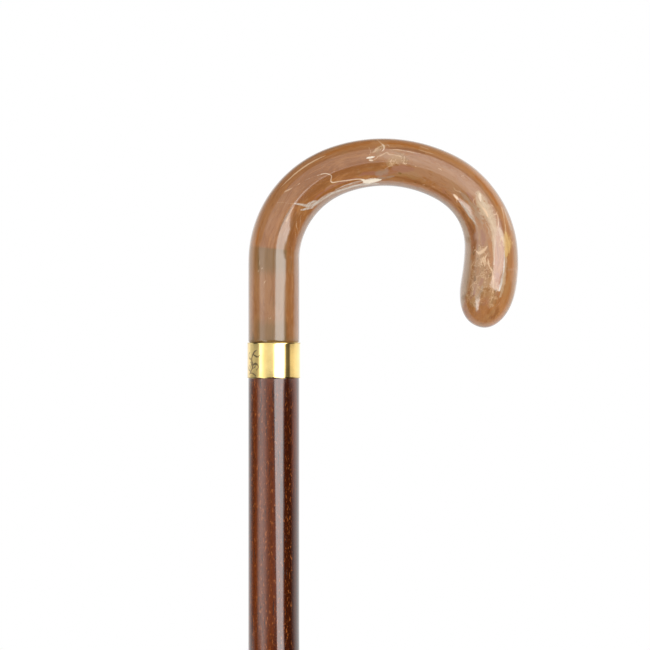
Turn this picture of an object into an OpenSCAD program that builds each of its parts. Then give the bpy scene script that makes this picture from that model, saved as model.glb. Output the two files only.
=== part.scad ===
// Walking cane with a crook handle.
// The origin is the centre of the tip's ground face. +Z runs up the shaft and the crook opens towards +X.

/* [Cane] */
// Height of the collar's top edge above the ground
collar_top = 822; // [650:1:900]
// Diameter of the straight upper part of the shaft
shaft_d = 23; // [22.5:0.1:24]
// Length of the straight upper part, below the collar
straight_l = 300; // [50:5:500]
// Diameter of the shaft inside the rubber tip
shaft_low_d = 19; // [18.5:0.1:20]

/* [Crook handle] */
// Diameter of the bar at the collar
stem_d = 23; // [22.5:0.1:24]
// Diameter of the bar where it is thinnest, over the top
top_d = 21.3; // [20:0.1:24]
// Diameter of the bar at its fullest, near the nose
nose_d = 25; // [20:0.1:26]
// Length of the straight stem above the collar
stem_l = 36.5; // [30:0.5:60]
// Centreline radius of the first bend, above the stem
bend_1_r = 43.5; // [40:0.5:60]
// Angle of the first bend
bend_1_angle = 69; // [60:1:75]
// Centreline radius of the flat bend over the top
bend_2_r = 60; // [50:0.5:80]
// Angle of the bend over the top
bend_2_angle = 49; // [40:1:52]
// Centreline radius of the tight bend at the shoulder
bend_3_r = 38; // [34:0.5:50]
// Angle of the bend at the shoulder
bend_3_angle = 60; // [45:1:65]
// Centreline radius of the slack bend down to the nose
bend_4_r = 75; // [60:1:120]
// Angle of the bend down to the nose
bend_4_angle = 27; // [20:1:30]
// Length of the rounded nose
nose_l = 20; // [14:0.5:26]
// Rounding of the bar's edge at the collar
foot_round = 0.8; // [0.5:0.1:0.9]

/* [Collar] */
// Outer diameter of the collar
collar_d = 24; // [23.2:0.1:25]
// Height of the collar
collar_h = 16; // [12:0.5:20]
// Diameter of the necks of the handle and the shaft inside the collar
neck_d = 21; // [19:0.1:21]
// Chamfer of the collar's outer edges
collar_edge = 0.35; // [0.1:0.05:0.5]

/* [Joint] */
// Major diameter of the stud's thread
stud_d = 10; // [8:0.5:10]
// Pitch of the stud's thread
stud_pitch = 1.5; // [1.25:0.25:1.5]
// Number of thread turns on the stud
stud_turns = 66; // [40:1:72]
// Diameter of the bores that the stud is glued into
bore_d = 12; // [11:0.5:13]
// Space for glue beyond each end of the stud
bore_spare = 1; // [0.5:0.5:3]

/* [Rubber tip] */
// Height of the rubber tip
tip_h = 38; // [34:0.5:46]
// Diameter of the tip's foot
foot_d = 30; // [29:0.5:36]
// Height of the foot's upright rim
foot_rim_h = 5; // [4:0.5:8]
// Outer diameter of the tip's sleeve
sleeve_d = 24.6; // [23.5:0.1:26]
// Thickness of rubber under the washer
sole_t = 7; // [5:0.5:9]
// Depth of the tread grooves
tread_depth = 1.6; // [0.5:0.1:2.5]
// Number of tread grooves
tread_count = 3; // [1:1:3]
// Number of grip rings round the sleeve
grip_rings = 3; // [1:1:4]
// Diameter of the steel washer in the tip
washer_d = 18; // [12:0.5:18.5]
// Thickness of the steel washer
washer_t = 1.5; // [1:0.25:2]

/* [Hidden] */

// The crook's four bends, each as its centreline radius and its angle
bends = [
    [bend_1_r, bend_1_angle],
    [bend_2_r, bend_2_angle],
    [bend_3_r, bend_3_angle],
    [bend_4_r, bend_4_angle]
];
bar_sides = 40;
ring_step = 2.75;
foot_steps = 3;
nose_steps = 9;
// Exponent of the nose's outline: 2 is an ellipse, and more is blunter
nose_power = 2.2;
// Where the bar starts to thin, where it is thinnest, and where it starts to swell towards the nose
thin_from = 25;
thinnest_at = 123;
swell_from = 153;
// How far the bar reaches down over its neck, so that the two are one solid
neck_bite = 2;

joint_z = collar_top - collar_h / 2;
collar_low = collar_top - collar_h;
shoulder_edge = 0.4;

thread_depth = 0.613 * stud_pitch;
thread_crest = stud_pitch / 8;
thread_flank = (stud_pitch - 2 * thread_crest) / 2;
stud_end = 0.5;
stud_l = stud_turns * stud_pitch + 2 * stud_end;
stud_low = joint_z - stud_l / 2;
bore_low = stud_low - bore_spare;
bore_top = stud_low + stud_l + bore_spare;

shaft_low = sole_t + washer_t;
taper_low = tip_h + 4;
shaft_end_edge = 0.6;

// The rubber grips by stretch, and this is the play that is left for it to slide off by hand
tip_play = 0.05;
flare_r = 9;
foot_edge = 0.6;
mouth_edge = 0.7;
mouth_bead_r = 1.3;
ring_bead_r = 0.8;
ring_pitch = 5;
top_ring_drop = 8;
tread_land_r = 4.4;
tread_w = 1.3;
tread_pitch = 3.2;

$fn = 96;

// A step from 0 to 1 with soft ends
function soft_step(t) = let (u = min(max(t, 0), 1)) u * u * (3 - 2 * u);

// The point [x, z, heading] that lies an angle a further along an arc of radius r, turning clockwise
function along_arc(p, r, a) = [
    p[0] + r * (sin(p[2]) - sin(p[2] - a)),
    p[1] + r * (cos(p[2] - a) - cos(p[2])),
    p[2] - a
];
function arc_l(bend) = bend[0] * bend[1] * PI / 180;
function along_bends(p, s, i) =
    i == len(bends) ? p
    : s <= arc_l(bends[i]) ? along_arc(p, bends[i][0], bends[i][1] * s / arc_l(bends[i]))
    : along_bends(along_arc(p, bends[i][0], bends[i][1]), s - arc_l(bends[i]), i + 1);

// The centreline at the distance s from the foot of the bar
function centreline(s) = s <= stem_l ? [0, s, 90] : along_bends([0, stem_l, 90], s - stem_l, 0);
bar_l = stem_l + arc_l(bends[0]) + arc_l(bends[1]) + arc_l(bends[2]) + arc_l(bends[3]);
nose_from = bar_l - nose_l;

function bar_r(s) =
    (stem_d
        + (top_d - stem_d) * soft_step((s - thin_from) / (thinnest_at - thin_from))
        + (nose_d - top_d) * soft_step((s - swell_from) / (nose_from - swell_from))) / 2;
function nose_share(u) = pow(1 - pow(u, nose_power), 1 / nose_power);

// Each station is a distance along the bar and the radius there: the rounded foot, the bar and the nose
foot_stations = [
    for (i = [0 : foot_steps])
        let (a = 90 * i / foot_steps)
        [foot_round * (1 - cos(a)), stem_d / 2 - foot_round * (1 - sin(a))]
];
bar_steps = ceil((nose_from - foot_round) / ring_step);
bar_stations = [
    for (i = [1 : bar_steps])
        let (s = foot_round + (nose_from - foot_round) * i / bar_steps)
        [s, bar_r(s)]
];
nose_stations = [
    for (i = [1 : nose_steps - 1])
        let (u = sin(90 * i / nose_steps), s = nose_from + nose_l * u)
        [s, bar_r(s) * nose_share(u)]
];
stations = concat(foot_stations, bar_stations, nose_stations);

// The round section of the bar at a station
function ring(station) =
    let (c = centreline(station[0]), r = station[1])
    [
        for (j = [0 : bar_sides - 1])
            let (a = 360 * j / bar_sides)
            [c[0] - r * cos(a) * sin(c[2]), r * sin(a), c[1] + r * cos(a) * cos(c[2])]
    ];
function at(i, j) = i * bar_sides + j % bar_sides;
// The two triangles between rings, with the diagonal mirrored on the far side
function patch(i, j) =
    j < bar_sides / 2
    ? [[at(i, j), at(i, j + 1), at(i + 1, j + 1)], [at(i, j), at(i + 1, j + 1), at(i + 1, j)]]
    : [[at(i, j), at(i, j + 1), at(i + 1, j)], [at(i, j + 1), at(i + 1, j + 1), at(i + 1, j)]];

module bar() {
    end = centreline(bar_l);
    last = len(stations) - 1;
    points = concat([for (station = stations) each ring(station)], [[end[0], 0, end[1]]]);
    foot_face = [[for (j = [bar_sides - 1 : -1 : 0]) j]];
    side_faces = [for (i = [0 : last - 1], j = [0 : bar_sides - 1]) each patch(i, j)];
    nose_faces = [for (j = [0 : bar_sides - 1]) [at(last, j), at(last, j + 1), len(points) - 1]];
    polyhedron(points = points, faces = concat(foot_face, side_faces, nose_faces));
}

// The crook: one bent bar, its neck inside the collar, and the blind bore for the stud
module crook_handle() color("peru") difference() {
    union() {
        translate([0, 0, collar_top]) bar();
        translate([0, 0, joint_z]) cylinder(h = collar_top - joint_z + neck_bite, d = neck_d);
    }
    translate([0, 0, joint_z - 1]) cylinder(h = bore_top - joint_z + 1, d = bore_d);
}

module collar() color("gold") rotate_extrude() polygon([
    [neck_d / 2, collar_low],
    [collar_d / 2 - collar_edge, collar_low],
    [collar_d / 2, collar_low + collar_edge],
    [collar_d / 2, collar_top - collar_edge],
    [collar_d / 2 - collar_edge, collar_top],
    [neck_d / 2, collar_top]
]);

// The shaft: a straight upper part, a long taper, and a straight end inside the tip
module shaft() color("saddlebrown") difference() {
    rotate_extrude() polygon([
        [0, shaft_low],
        [shaft_low_d / 2 - shaft_end_edge, shaft_low],
        [shaft_low_d / 2, shaft_low + shaft_end_edge],
        [shaft_low_d / 2, taper_low],
        [shaft_d / 2, collar_low - straight_l],
        [shaft_d / 2, collar_low - shoulder_edge],
        [shaft_d / 2 - shoulder_edge, collar_low],
        [neck_d / 2, collar_low],
        [neck_d / 2, joint_z],
        [0, joint_z]
    ]);
    translate([0, 0, bore_low]) cylinder(h = joint_z - bore_low + 1, d = bore_d);
}

// The stud's outline for one turn of its thread: a flank in, the root, a flank out and the crest
function thread_turn(z) = [
    [stud_d / 2, z],
    [stud_d / 2 - thread_depth, z + thread_flank],
    [stud_d / 2 - thread_depth, z + thread_flank + thread_crest],
    [stud_d / 2, z + 2 * thread_flank + thread_crest]
];

// The threaded stud, with each turn of its thread as a closed ring
module joint_stud() color("silver") rotate_extrude() polygon(concat(
    [[0, stud_low], [stud_d / 2 - stud_end, stud_low]],
    [for (i = [0 : stud_turns - 1]) each thread_turn(stud_low + stud_end + i * stud_pitch)],
    [[stud_d / 2 - stud_end, stud_low + stud_l], [0, stud_low + stud_l]]
));

// The cured glue fills what the stud leaves of a bore
module glue(low, top) color("darkkhaki") difference() {
    translate([0, 0, low]) cylinder(h = top - low, d = bore_d);
    joint_stud();
}
module handle_glue() glue(joint_z, bore_top);
module shaft_glue() glue(bore_low, joint_z);

// The tip's solid outline: a flared foot, a sleeve, grip rings and a bead round the mouth
module tip_outline() {
    flare_w = (foot_d - sleeve_d) / 2;
    flare_h = sqrt(flare_r * flare_r - (flare_r - flare_w) * (flare_r - flare_w));
    polygon([
        [0, 0],
        [foot_d / 2 - foot_edge, 0],
        [foot_d / 2, foot_edge],
        [foot_d / 2, foot_rim_h],
        [0, foot_rim_h]
    ]);
    square([sleeve_d / 2, tip_h]);
    difference() {
        translate([0, foot_rim_h]) square([foot_d / 2, flare_h]);
        translate([sleeve_d / 2 + flare_r, foot_rim_h + flare_h]) circle(r = flare_r);
    }
    translate([sleeve_d / 2, tip_h - mouth_bead_r]) circle(r = mouth_bead_r);
    for (i = [0 : grip_rings - 1])
        translate([sleeve_d / 2, tip_h - top_ring_drop - i * ring_pitch]) circle(r = ring_bead_r);
}

module rubber_tip() color("dimgray") rotate_extrude() difference() {
    tip_outline();
    translate([0, sole_t]) square([shaft_low_d / 2 + tip_play, tip_h]);
    translate([shaft_low_d / 2 + tip_play, tip_h]) rotate(45) square(mouth_edge * sqrt(2), center = true);
    for (i = [0 : tread_count - 1])
        translate([tread_land_r + i * tread_pitch, -1]) square([tread_w, tread_depth + 1]);
}

module tip_washer() color("lightgray") translate([0, 0, sole_t]) cylinder(h = washer_t, d = washer_d);

crook_handle();
collar();
shaft();
joint_stud();
handle_glue();
shaft_glue();
rubber_tip();
tip_washer();
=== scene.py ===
"""Dresses a walking cane: marbled acrylic crook, brass collar, lacquered wood shaft and rubber tip."""

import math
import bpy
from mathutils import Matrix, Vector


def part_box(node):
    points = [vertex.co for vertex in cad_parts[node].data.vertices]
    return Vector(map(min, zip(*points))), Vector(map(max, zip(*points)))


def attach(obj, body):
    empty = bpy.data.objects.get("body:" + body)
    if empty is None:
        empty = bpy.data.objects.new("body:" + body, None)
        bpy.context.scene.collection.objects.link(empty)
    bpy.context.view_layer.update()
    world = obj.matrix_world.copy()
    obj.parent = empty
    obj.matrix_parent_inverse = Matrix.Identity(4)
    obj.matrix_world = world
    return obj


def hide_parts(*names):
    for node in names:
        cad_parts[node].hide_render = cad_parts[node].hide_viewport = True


bl_info = {
    "name": "Crook Cane Dresser",
    "version": (1, 0, 0),
    "blender": (4, 5, 0),
    "location": "3D View > Sidebar > Cane",
    "description": "Gives a walking cane its acrylic, brass, wood, rubber and steel, and a white studio",
    "category": "Object",
}

import bpy
import numpy as np
from bpy.props import FloatProperty, FloatVectorProperty, PointerProperty
from mathutils import Vector

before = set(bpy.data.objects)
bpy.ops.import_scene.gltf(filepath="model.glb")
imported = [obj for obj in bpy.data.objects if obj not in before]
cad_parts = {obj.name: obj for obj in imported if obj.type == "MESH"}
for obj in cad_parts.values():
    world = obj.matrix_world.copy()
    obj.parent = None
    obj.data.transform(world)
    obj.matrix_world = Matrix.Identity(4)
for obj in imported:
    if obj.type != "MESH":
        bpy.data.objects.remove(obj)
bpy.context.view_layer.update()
MM = 0.001
TINY = 1e-9

# Heights and radii that the solids give, in mm
COLLAR_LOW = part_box("collar")[0].z / MM
COLLAR_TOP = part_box("collar")[1].z / MM
COLLAR_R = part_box("collar")[1].x / MM
JOINT_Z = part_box("shaft")[1].z / MM
SHAFT_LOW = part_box("shaft")[0].z / MM
SHAFT_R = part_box("shaft")[1].x / MM
BORE_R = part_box("handle_glue")[1].x / MM
BORE_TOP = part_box("handle_glue")[1].z / MM
BORE_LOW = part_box("shaft_glue")[0].z / MM
TIP_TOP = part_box("rubber_tip")[1].z / MM

# The turned sizes of the necks, the shaft and the collar, in mm. A ring just under the shaft's shoulder
# keeps its edge sharp.
NECK_R = 10.5
SHAFT_LOW_R = 9.5
SHAFT_STRAIGHT_L = 300
TAPER_LOW = TIP_TOP + 4
SHOULDER_EDGE = 0.1
SHOULDER_RING = 0.2
SHAFT_END_EDGE = 0.6
COLLAR_EDGE = 0.35
COLLAR_FOOT_EDGE = 0.12

# The crook's bar, in mm and degrees: its stem, its four bends as radius and angle, and its radius at the
# stem, where it is thinnest and near the nose, with the distances along the bar between which it changes
STEM_L = 36.5
BENDS = [(43.5, 69), (60, 49), (38, 60), (75, 27)]
STEM_R = 11.5
THIN_R = 10.65
NOSE_R = 12.5
THIN_FROM = 25
THINNEST_AT = 123
SWELL_FROM = 153
NOSE_L = 20
NOSE_POWER = 2.2
FOOT_ROUND = 0.8
BAR_L = STEM_L + sum(r * math.radians(a) for r, a in BENDS)
# How near to the bar's edge a mark on its front may come, as a share of the radius
RIM = 0.99

# How finely the pieces are drawn
BAR_SIDES = 192
BAR_STEP = 0.45
NOSE_RINGS = 26
FOOT_RINGS = 6
COLLAR_SIDES = 288
COLLAR_RINGS = 48
SHAFT_SIDES = 128
TAPER_RINGS = 24
STRAIGHT_RINGS = 16
EDGE_STEPS = 5
SHARP_ANGLE = math.radians(35)

# The photograph's frame: its width in mm at the cane, and the point of the cane at its centre
VIEW_W = 292.5
VIEW_X = 23.0
VIEW_Z = 829.8


def soft_step(t):
    """0 to 1 with soft ends."""
    t = np.clip(t, 0, 1)
    return t * t * (3 - 2 * t)


def centreline(s):
    """The x, the height above the collar and the heading of the bar's centreline, at the distances s."""
    s = np.atleast_1d(np.asarray(s, float))
    x, z, heading = np.zeros_like(s), s.copy(), np.full_like(s, math.pi / 2)
    x0, z0, h0, s0 = 0.0, STEM_L, math.pi / 2, STEM_L
    for i, (radius, angle) in enumerate(BENDS):
        a = math.radians(angle)
        here = (s > s0) & ((s <= s0 + radius * a) | (i == len(BENDS) - 1))
        h = h0 - (s[here] - s0) / radius
        x[here] = x0 + radius * (math.sin(h0) - np.sin(h))
        z[here] = z0 + radius * (np.cos(h) - math.cos(h0))
        heading[here] = h
        x0 += radius * (math.sin(h0) - math.sin(h0 - a))
        z0 += radius * (math.cos(h0 - a) - math.cos(h0))
        h0 -= a
        s0 += radius * a
    return x, z, heading


def bar_radius(s):
    """The bar's radius along its length, without its rounded nose."""
    s = np.asarray(s, float)
    thinned = (THIN_R - STEM_R) * soft_step((s - THIN_FROM) / (THINNEST_AT - THIN_FROM))
    swollen = (NOSE_R - THIN_R) * soft_step((s - SWELL_FROM) / (BAR_L - NOSE_L - SWELL_FROM))
    return STEM_R + thinned + swollen


def skin_radius(s):
    """The bar's radius along its length, with its rounded nose."""
    past = np.clip((np.asarray(s, float) - BAR_L + NOSE_L) / NOSE_L, 0, 1)
    return bar_radius(s) * (1 - past**NOSE_POWER) ** (1 / NOSE_POWER)


def on_bar(s, turn, radius):
    """Points of the bar in mm: s along it, turned from its outer side (0) over its front (90 degrees)."""
    s, turn, radius = np.broadcast_arrays(np.atleast_1d(s), turn, radius)
    x, z, heading = centreline(s)
    across = radius * np.cos(turn)
    side = (x - across * np.sin(heading), -radius * np.sin(turn), COLLAR_TOP + z + across * np.cos(heading))
    return np.stack(side, -1)


def turn_of(s, across):
    """How far round the bar a point of its front lies, from how far across it is towards the outer side."""
    return np.arccos(np.clip(across / skin_radius(s), -RIM, RIM))


def turned_rings(profile, sides):
    """Rings round the shaft's axis, from (radius, height) points in mm."""
    turn = np.arange(sides) * 2 * math.pi / sides
    rings = [np.stack([-r * np.cos(turn), -r * np.sin(turn), np.full(sides, z)], -1) for r, z in profile]
    return np.array(rings)


def lofted(name, rings, first_pole=None, last_pole=None, loop=False):
    """A smooth mesh through rings of points in mm, closed by poles at its ends or round into a loop."""
    count, sides = rings.shape[:2]
    points = [rings.reshape(-1, 3)]
    j = np.arange(sides)
    k = (j + 1) % sides
    faces = []
    for i in range(count if loop else count - 1):
        low, high = i * sides, (i + 1) % count * sides
        faces += np.stack([low + j, low + k, high + k, high + j], 1).tolist()
    last = (count - 1) * sides
    for pole, at_start in ((first_pole, True), (last_pole, False)):
        if pole is None:
            continue
        tip = sum(len(p) for p in points)
        points.append(np.array([pole], float))
        fan = [np.full(sides, tip), k, j] if at_start else [last + j, last + k, np.full(sides, tip)]
        faces += np.stack(fan, 1).tolist()
    mesh = bpy.data.meshes.new(name)
    mesh.from_pydata((np.concatenate(points) * MM).tolist(), [], faces)
    mesh.polygons.foreach_set("use_smooth", np.ones(len(mesh.polygons), bool))
    mesh.set_sharp_from_angle(angle=SHARP_ANGLE)
    mesh.update()
    piece = bpy.data.objects.new(name, mesh)
    bpy.context.scene.collection.objects.link(piece)
    return piece


def points_of(piece):
    """A mesh's points in mm."""
    return np.array([vertex.co for vertex in piece.data.vertices]) / MM


def keep_field(mesh, name, values, kind="FLOAT"):
    """Stores one value or vector for each point of a mesh, for its material to read."""
    field = mesh.attributes.new(name, kind, "POINT")
    stored_as = "vector" if kind == "FLOAT_VECTOR" else "value"
    field.data.foreach_set(stored_as, np.asarray(values, np.float32).ravel())


def quarter_round(r, z, radius, first, last):
    """(radius, height) points of a rounded edge about a centre, from one angle to another in degrees."""
    angles = np.radians(np.linspace(first, last, EDGE_STEPS))
    return [(r + radius * math.cos(a), z + radius * math.sin(a)) for a in angles]


# The marks in the acrylic, on the crook's front. Each is a path of (distance along the bar, distance
# across it towards its outer side, half-width) in mm. Some are painted highlights and painted shade.
MARKS = {
    # White: the blot where the squiggle ends, and a dash over the top
    "blot": [
        [(99.6, -7.3, 0.3), (100.6, -7.9, 0.7), (101.6, -8.4, 1.3), (103.4, -8.5, 1.6), (105.4, -8.4, 1.4),
         (107.4, -8.3, 0.9), (109.6, -8.1, 0.2)],
        [(103, 1.9, 0.15), (104.2, 1.85, 0.4), (105.6, 1.9, 0.4), (107, 2, 0.12)],
    ],
    # Cream: the squiggle over the left shoulder, and dashes over the top and in the pearl
    "vein": [
        [(79.6, 1.7, 0.06), (82.2, 1.1, 0.14), (83.5, 0.7, 0.17), (84.8, -0.1, 0.18), (85.7, -1.1, 0.18),
         (85.8, -2, 0.18), (85, -3, 0.2), (84.6, -3.8, 0.24), (85.2, -4.6, 0.26), (87.5, -5.1, 0.2),
         (90, -5.6, 0.2), (93, -6.15, 0.24), (96, -6.5, 0.22), (98.6, -6.9, 0.28), (100.4, -7.5, 0.45)],
        [(110.3, 7.6, 0.3), (110.8, 6.9, 0.36), (110.9, 5.6, 0.26), (110.3, 4.7, 0.2)],
        [(155.6, 3.6, 0.35), (156.4, 3.1, 0.65), (157.4, 2.4, 0.5), (158.6, 1.8, 0.15)],
        [(104.3, 0.8, 0.25), (105.2, 0.6, 0.4), (106, 0.4, 0.15)],
    ],
    # Peach: the burst near the nose, the light line over the left shoulder and flecks in the stem. The first
    # stroke is a painted highlight, which carries the small lamp's reflection on along the inner side
    "burst": [
        # Painted highlight: the small lamp's reflection, carried on along the inner side before the right
        # shoulder
        [(147.6, -4.9, 0.3), (149.2, -5, 0.6), (150.8, -5.3, 0.3)],
        [(161, 0.9, 0.2), (163.4, 1.4, 0.4), (166, 1.3, 0.2)],
        [(66, 8.6, 0.1), (70, 8.3, 0.25), (75, 8.2, 0.36), (79, 8.1, 0.4), (83, 8, 0.34), (88, 7.8, 0.1)],
        [(31.4, 6.9, 0.15), (32.1, 6.8, 0.35), (32.7, 6.6, 0.1)],
        [(34, 6.5, 0.1), (35.6, 6.35, 0.3), (37.2, 6.2, 0.12)],
        [(32.8, 5.4, 0.12), (33.2, 5.1, 0.28), (33.5, 4.9, 0.1)],
        [(178.6, -2.2, 0.2), (180, -3.2, 0.5), (180.9, -4.3, 0.75), (181.8, -5.5, 0.7), (182, -6.3, 0.3)],
        [(181.8, -6, 0.4), (181, -6.9, 0.25), (180, -7.6, 0.1)],
        [(182.4, -2.4, 0.12), (183.4, -2.9, 0.28), (184.6, -3.3, 0.4), (185.8, -3, 0.3), (187.2, -2.5, 0.14)],
        [(183.4, -3.9, 0.12), (184.8, -4.2, 0.35), (186, -3.9, 0.35), (187.2, -3.3, 0.25),
         (188.4, -3.1, 0.1)],
        [(184.4, -5, 0.1), (186, -4.9, 0.3), (187.3, -4.6, 0.22), (188, -4, 0.1)],
        [(184.6, -1.9, 0.2), (186, -1.7, 0.35), (187.2, -1.5, 0.3), (188.6, -0.7, 0.3), (189.6, 0.1, 0.35)],
    ],
    # Thin lines that half show
    "wisp": [
        [(26.2, 4.3, 0.15), (27.2, 3.9, 0.25), (27.8, 3.2, 0.1)],
        [(11.3, 2.4, 0.12), (10.5, 1.9, 0.18), (10.8, 1.3, 0.18), (11.6, 1.2, 0.1)],
        [(65.6, 6, 0.15), (66.6, 5.6, 0.35), (67.6, 5, 0.3), (69.4, 4.3, 0.12)],
        [(70.6, 3.9, 0.1), (72.4, 3.5, 0.18), (73.2, 3.4, 0.05)],
        [(74.6, 3, 0.05), (76.4, 2.6, 0.15), (78.4, 2.1, 0.08), (80.6, 1.4, 0.12)],
        [(60.4, 6, 0.1), (61.4, 4.8, 0.16), (62.2, 3.4, 0.14), (62.8, 1.8, 0.12), (64.2, -0.4, 0.15)],
        [(55.6, -1.9, 0.4), (57.4, -1.7, 0.32), (59, -1.6, 0.28), (62, -1.5, 0.14), (63.4, -1.6, 0.05)],
        [(52, -9, 0.1), (54.4, -7.6, 0.2), (56, -6.5, 0.22), (58.2, -5.8, 0.1)],
        [(55, -8.6, 0.08), (58.6, -7.4, 0.16), (61.6, -6.2, 0.1)],
        [(46, -9.4, 0.1), (50, -8.2, 0.15), (53.4, -7, 0.1)],
        # Over the top, and the net below it
        [(108.1, 10.2, 0.2), (109.2, 8.8, 0.32), (110.2, 7.6, 0.35), (110.7, 6.9, 0.4), (110.9, 5.6, 0.35),
         (110.3, 4.7, 0.28), (109.7, 4.2, 0.15)],
        [(110.4, 7, 0.3), (108.9, 6.3, 0.35), (107.9, 5.6, 0.55), (107, 4.6, 0.35), (106, 3.8, 0.2)],
        [(111, 7, 0.2), (112.6, 7.3, 0.22), (113, 6.5, 0.1)],
        [(104.8, 6.7, 0.1), (105, 5.4, 0.16), (105.4, 4.4, 0.14), (104.7, 3, 0.2)],
        [(106.2, 0.8, 0.2), (107.4, 1.2, 0.22), (108.2, 2.1, 0.25), (109.4, 2.45, 0.32), (110.8, 3.3, 0.25),
         (112.2, 3.9, 0.3), (113, 3, 0.35), (115, 3, 0.28), (117.9, 2.6, 0.3), (118.2, 3, 0.1)],
        [(114.9, 2.1, 0.15), (114.3, 0.7, 0.25), (113.8, 0.1, 0.25), (114.2, -1, 0.25), (114.6, -1.8, 0.2),
         (113, -2.5, 0.18), (111.3, -3.5, 0.2)],
        [(116.1, 2.6, 0.1), (116.4, 1.4, 0.16), (115.9, 0.6, 0.16), (116.6, -0.3, 0.12)],
        [(119.8, 2.8, 0.2), (119.5, 1.2, 0.2), (119.9, -0.2, 0.15), (121.4, -1.2, 0.1)],
        [(113.6, -1.2, 0.15), (116, -0.8, 0.16), (118.6, -0.9, 0.15), (121, -0.4, 0.1)],
        [(113, 5.2, 0.15), (116, 5.4, 0.25), (119.6, 5.4, 0.22), (122.6, 5.2, 0.25), (126, 5.3, 0.1)],
        [(124.6, 7.1, 0.1), (126.6, 6.95, 0.22), (129, 6.9, 0.28), (131.2, 7, 0.1)],
        [(125.2, 8.8, 0.15), (126.4, 8.6, 0.35), (128.6, 8.4, 0.2)],
        # Short flecks along the right shoulder
        [(130.8, -7.8, 0.12), (131.9, -7.3, 0.22), (132.4, -7.2, 0.08)],
        [(125.2, -0.7, 0.3), (125.9, -0.6, 0.1)],
        [(134.4, -7.6, 0.1), (136.6, -6.6, 0.16), (138, -6.3, 0.08)],
        [(135, 1.6, 0.2), (136.2, 1.7, 0.25), (136.8, 1.4, 0.1)],
        [(145.2, -2.5, 0.12), (147, -3, 0.2), (148.8, -2.4, 0.22), (150.2, -2.3, 0.1)],
        [(145, 3.2, 0.12), (145.7, 4.2, 0.2), (146.4, 4.7, 0.08)],
        [(150, -5.4, 0.3), (151.2, -6.3, 0.25), (152.4, -6.7, 0.1)],
        # In and round the pearl
        [(161.2, 4.7, 0.15), (162.2, 5.3, 0.3), (163, 5.5, 0.12)],
        [(165.3, 6.2, 0.2), (166.2, 5.1, 0.3), (165.8, 4.1, 0.25)],
        [(166.4, 5.8, 0.2), (169, 5, 0.3), (171.6, 3.9, 0.2)],
        [(159, 0.7, 0.2), (163, 1.5, 0.45), (165.4, 1.2, 0.25)],
        [(155.9, 0.3, 0.2), (156.4, -0.7, 0.22), (157.4, -1.3, 0.1)],
        [(158.4, -0.1, 0.15), (159.2, -0.5, 0.2), (160.2, -0.3, 0.1)],
        [(174, 1.2, 0.1), (175.4, 1.1, 0.2), (176.2, 1, 0.08)],
        [(164.6, 8.9, 0.4), (167, 8.4, 0.42), (169, 7.9, 0.34), (172, 7.4, 0.28), (174.4, 6.8, 0.3)],
        [(166.6, 9.6, 0.4), (169, 9.4, 0.3), (172, 9.8, 0.25)],
        # Round the burst and the nose
        [(189.6, 0.1, 0.3), (191.5, 0.6, 0.3), (193.6, 1.1, 0.3), (195.6, 1.5, 0.3), (197.6, 1.8, 0.28)],
        [(184.4, -5.5, 0.25), (185.6, -4.9, 0.2), (187.4, -4.9, 0.25)],
        [(197, 1.9, 0.25), (198.4, 2, 0.35), (200.4, 1.7, 0.2), (201.6, 2.5, 0.25), (203.2, 1.8, 0.1)],
        [(193.2, -2.2, 0.12), (193.5, -3.4, 0.25), (193.3, -4.4, 0.12)],
        [(179.9, -7.4, 0.15), (180.6, -8, 0.22), (183, -8.8, 0.14), (185.2, -7.9, 0.16), (186.8, -8.3, 0.2),
         (188.6, -9.1, 0.22), (190.6, -8.7, 0.22), (193.2, -8.3, 0.16)],
        [(196.2, -6.2, 0.12), (196.9, -7.1, 0.3), (198.6, -8.2, 0.2), (200, -7.4, 0.15), (203.4, -6.2, 0.16)],
        [(185.4, -6.4, 0.1), (186.4, -7.4, 0.15), (188.4, -7.7, 0.1)],
        [(202, 6.3, 0.1), (203.6, 5.9, 0.15), (205.4, 4.7, 0.12)],
        [(203.8, -0.6, 0.2), (204.5, -1.4, 0.15)],
        [(178.2, -8, 0.2), (179.4, -8.3, 0.15)],
    ],
    # Silvery smoke along the inner side of the left shoulder. The strokes under the right shoulder and down
    # the right leg are painted highlights, at the edges of reflections
    "smoke": [
        [(64.2, -0.5, 0.12), (65, -1.8, 0.3), (66, -3.4, 0.36), (66.8, -4.8, 0.45), (68, -6.2, 0.7),
         (69.6, -7.4, 0.9), (72, -8, 0.8), (76, -8.3, 0.8), (80, -8.5, 0.8), (84, -8.8, 0.7), (88, -9, 0.7),
         (92, -9.1, 0.8), (97, -9.2, 0.8), (102, -9.6, 0.7), (108, -9.9, 0.4)],
        [(63.7, -4.7, 0.15), (64.6, -5.5, 0.35), (66, -6.4, 0.4), (67.6, -7.3, 0.55), (69, -8, 0.6)],
        [(68.6, -5.6, 0.3), (70.4, -6.4, 0.6), (72.4, -7.2, 0.5)],
        [(84, -7.9, 0.1), (90, -7.9, 0.3), (96, -7.9, 0.45), (99.4, -7.9, 0.35)],
        # Painted highlight: widens the small lamp's reflection under the right shoulder
        [(152, -5.5, 0.15), (156, -5.7, 0.4), (160, -5.8, 0.45), (164, -5.3, 0.25), (166, -4.8, 0.1)],
        # Painted highlight: the pale edge of the reflected stripe down the right leg
        [(181, 5.4, 0.15), (187, 5.5, 0.3), (192, 5.2, 0.45), (196.4, 4.9, 0.45), (198.6, 4.7, 0.15)],
    ],
    # Beige film: along the inner side, round the blot, under the pearl and on the nose. The stroke beside the
    # small lamp's reflection under the right shoulder and the one on the nose are painted highlights.
    "film": [
        [(72, -9.4, 0.9), (80, -9.5, 1.2), (90, -9.6, 1.1), (97, -9.6, 1), (102, -9.8, 0.9), (108, -10, 0.7)],
        [(107.4, -5.6, 0.8), (109, -5.4, 1.5), (111, -4.9, 1.6), (112.8, -4.6, 1.1)],
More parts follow.
